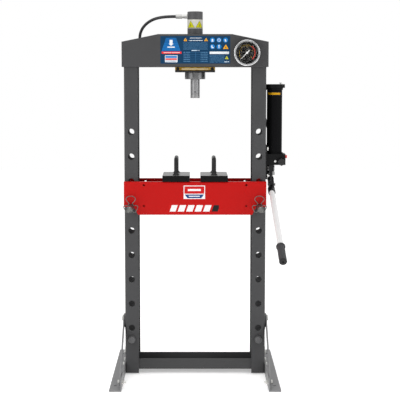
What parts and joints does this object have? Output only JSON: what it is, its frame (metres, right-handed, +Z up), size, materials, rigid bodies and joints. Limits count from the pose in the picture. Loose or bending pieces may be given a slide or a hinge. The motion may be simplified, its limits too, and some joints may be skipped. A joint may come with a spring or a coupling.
{
  "type": "hydraulic shop press",
  "caption": "Floor-standing hydraulic shop press: drilled post gantry, box head with gauge and ram, pin-located bed with press plates, hand pump with lever, angle feet.",
  "frame": {"origin": "on the floor, at the centre of the four anchor holes, midway between the posts and at the middle of their depth", "axes": "+X to the right seen from the front, where the pump is; +Y to the back; +Z up along the posts"},
  "size_m": [0.706, 0.8847, 1.474],
  "materials": {
    "frame_paint": "satin grey powder coat",
    "foot_paint": "satin light grey powder coat",
    "bed_paint": "gloss red powder coat",
    "black_paint": "black powder coat",
    "plate_steel": "blacked steel with ground top",
    "ram_steel": "ground and plated steel",
    "turned_steel": "turned steel",
    "zinc": "zinc plated",
    "yellow_zinc": "yellow passivated zinc",
    "blacked_steel": "blacked",
    "spring_steel": "drawn wire",
    "gauge_chrome": "polished",
    "gauge_black": "black dial",
    "gauge_glass": "clear",
    "pointer_white": "white enamel",
    "brass": "turned brass",
    "hose_rubber": "smooth black cover",
    "pump_black": "black gloss paint",
    "knob_plastic": "black moulded",
    "red_plastic": "red cap",
    "handle_white": "white enamel",
    "grip_rubber": "black rubber",
    "cast_black": "black paint"
  },
  "bodies": {
    "frame": {"left_post": "frame_paint", "right_post": "frame_paint", "head_front_plate": "frame_paint", "head_rear_plate": "frame_paint", "head_end_plates": "frame_paint", "head_bolster": "frame_paint", "bed_stop_studs": "frame_paint", "lower_cross_member": "frame_paint", "right_foot": "foot_paint", "left_foot": "foot_paint", "right_braces": "foot_paint", "left_braces": "foot_paint", "brace_brackets": "frame_paint", "frame_bolts": "zinc", "ram_cylinder": "frame_paint", "cylinder_flange": "black_paint", "flange_bolts": "zinc", "flange_strap": "yellow_zinc", "strap_screws": "blacked_steel", "lock_nut": "turned_steel", "return_spring": "spring_steel", "hydraulic_hose": "hose_rubber", "hose_ends": "zinc", "hose_adapters": "zinc", "gauge_case": "gauge_black", "gauge_bezel": "gauge_chrome", "gauge_dial": "gauge_black", "gauge_lens": "gauge_glass", "gauge_stem": "brass", "gauge_bourdon_tube": "brass", "gauge_pipe": "zinc", "pump_bracket": "foot_paint", "pump_mount_bolts": "zinc", "pump_block": "pump_black", "pump_reservoir": "pump_black", "reservoir_cap": "pump_black", "filler_screw": "zinc", "relief_valve_cap": "red_plastic", "block_fittings": "zinc", "plunger_barrel": "turned_steel", "fulcrum_link": "cast_black", "fulcrum_pins": "zinc"},
    "ram": {"ram_rod": "ram_steel", "ram_piston": "turned_steel", "ram_tip": "ram_steel"},
    "bed": {"bed_front_beam": "bed_paint", "bed_rear_beam": "bed_paint", "bed_ribs": "bed_paint"},
    "left_plate": {"left_press_plate": "plate_steel", "left_plate_handle": "black_paint"},
    "right_plate": {"right_press_plate": "plate_steel", "right_plate_handle": "black_paint"},
    "left_pin": {"left_bed_pin": "zinc"},
    "right_pin": {"right_bed_pin": "zinc"},
    "lever": {"pump_lever": "cast_black", "pump_handle": "handle_white", "handle_grip": "grip_rubber"},
    "plunger": {"pump_plunger": "ram_steel"},
    "release_valve": {"release_knob": "knob_plastic"},
    "pointer": {"gauge_pointer": "pointer_white"}
  },
  "joints": [
    {"name": "ram_slide", "type": "slide", "parent": "frame", "child": "ram", "axis": [0, 0, -1], "range_m": [0, 0.18], "stiffness_N_per_m": 250, "springref_m": -0.25, "deforming": ["return_spring"]},
    {"name": "bed_lift", "type": "slide", "parent": "frame", "child": "bed", "axis": [0, 0, 1], "range_m": [0, 0.3]},
    {"name": "left_plate_slide", "type": "slide", "parent": "bed", "child": "left_plate", "axis": [-1, 0, 0], "range_m": [0, 0.09]},
    {"name": "right_plate_slide", "type": "slide", "parent": "bed", "child": "right_plate", "axis": [1, 0, 0], "range_m": [0, 0.09]},
    {"name": "left_pin_pull", "type": "slide", "parent": "frame", "child": "left_pin", "axis": [0, -1, 0], "range_m": [0, 0.28]},
    {"name": "right_pin_pull", "type": "slide", "parent": "frame", "child": "right_pin", "axis": [0, -1, 0], "range_m": [0, 0.28]},
    {"name": "lever_swing", "type": "hinge", "parent": "frame", "child": "lever", "pos_m": [0.309, -0.026, 0.777], "axis": [-1, 0, 0], "range_deg": [0, 55]},
    {"name": "plunger_stroke", "type": "slide", "parent": "frame", "child": "plunger", "axis": [0, 0, -1], "range_m": [0, 0.0397]},
    {"name": "release_turn", "type": "hinge", "parent": "frame", "child": "release_valve", "pos_m": [0.348, -0.05, 0.87], "axis": [0, -1, 0], "range_deg": [0, 360]},
    {"name": "pointer_swing", "type": "hinge", "parent": "frame", "child": "pointer", "pos_m": [0.2055, -0.09, 1.307], "axis": [0, 1, 0], "range_deg": [0, 270], "stiffness_Nm_per_rad": 0.001, "springref_deg": -28.65}
  ],
  "couplings": [
    {"joint": "plunger_stroke", "follows": "lever_swing", "m_per_rad": 0.041215}
  ]
}
